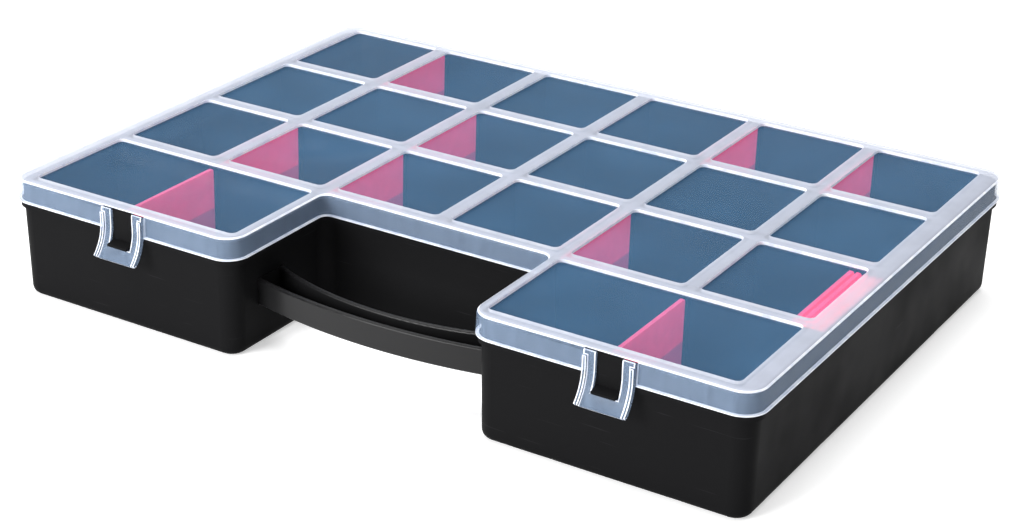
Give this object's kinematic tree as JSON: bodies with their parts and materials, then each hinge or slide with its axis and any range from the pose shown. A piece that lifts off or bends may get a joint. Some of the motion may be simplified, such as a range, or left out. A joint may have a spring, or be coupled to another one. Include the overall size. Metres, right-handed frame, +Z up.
{
  "type": "drawer organizer",
  "caption": "Flat divided storage case with a clear hinged lid over rows of compartments, two front latches, loose dividers and a carrying handle across a notch.",
  "frame": {"origin": "on the surface the case stands on, under the middle of its box, latches and hinges included", "axes": "+X along the front edge to the right, +Y from the latches to the hinge, +Z up"},
  "size_m": [0.38, 0.2834, 0.059],
  "materials": {
    "black_plastic": "moulded polypropylene with a fine satin grain",
    "clear_plastic": "milky translucent moulded polypropylene",
    "pink_plastic": "tinted moulded polypropylene"
  },
  "bodies": {
    "base": {"tray": "black_plastic", "handle": "black_plastic", "divider_front_1": "pink_plastic", "divider_front_5": "pink_plastic", "divider_second_1": "pink_plastic", "divider_second_2": "pink_plastic", "divider_second_4": "pink_plastic", "divider_third_2": "pink_plastic", "divider_back_1": "pink_plastic", "divider_back_4": "pink_plastic", "divider_back_5": "pink_plastic", "spare_divider_1": "pink_plastic", "spare_divider_2": "pink_plastic", "spare_divider_3": "pink_plastic", "spare_divider_4": "pink_plastic", "spare_divider_5": "pink_plastic"},
    "lid": {"lid": "clear_plastic"},
    "left_latch": {"left_latch": "clear_plastic"},
    "right_latch": {"right_latch": "clear_plastic"}
  },
  "joints": [
    {"name": "lid_hinge", "type": "hinge", "parent": "base", "child": "lid", "pos_m": [0, 0.13779, 0.0466], "axis": [-1, 0, 0], "range_deg": [0, 110]},
    {"name": "left_latch_hinge", "type": "hinge", "parent": "lid", "child": "left_latch", "pos_m": [-0.124, -0.13431, 0.0574], "axis": [-1, 0, 0], "range_deg": [0, 100]},
    {"name": "right_latch_hinge", "type": "hinge", "parent": "lid", "child": "right_latch", "pos_m": [0.124, -0.13431, 0.0574], "axis": [-1, 0, 0], "range_deg": [0, 100]}
  ]
}
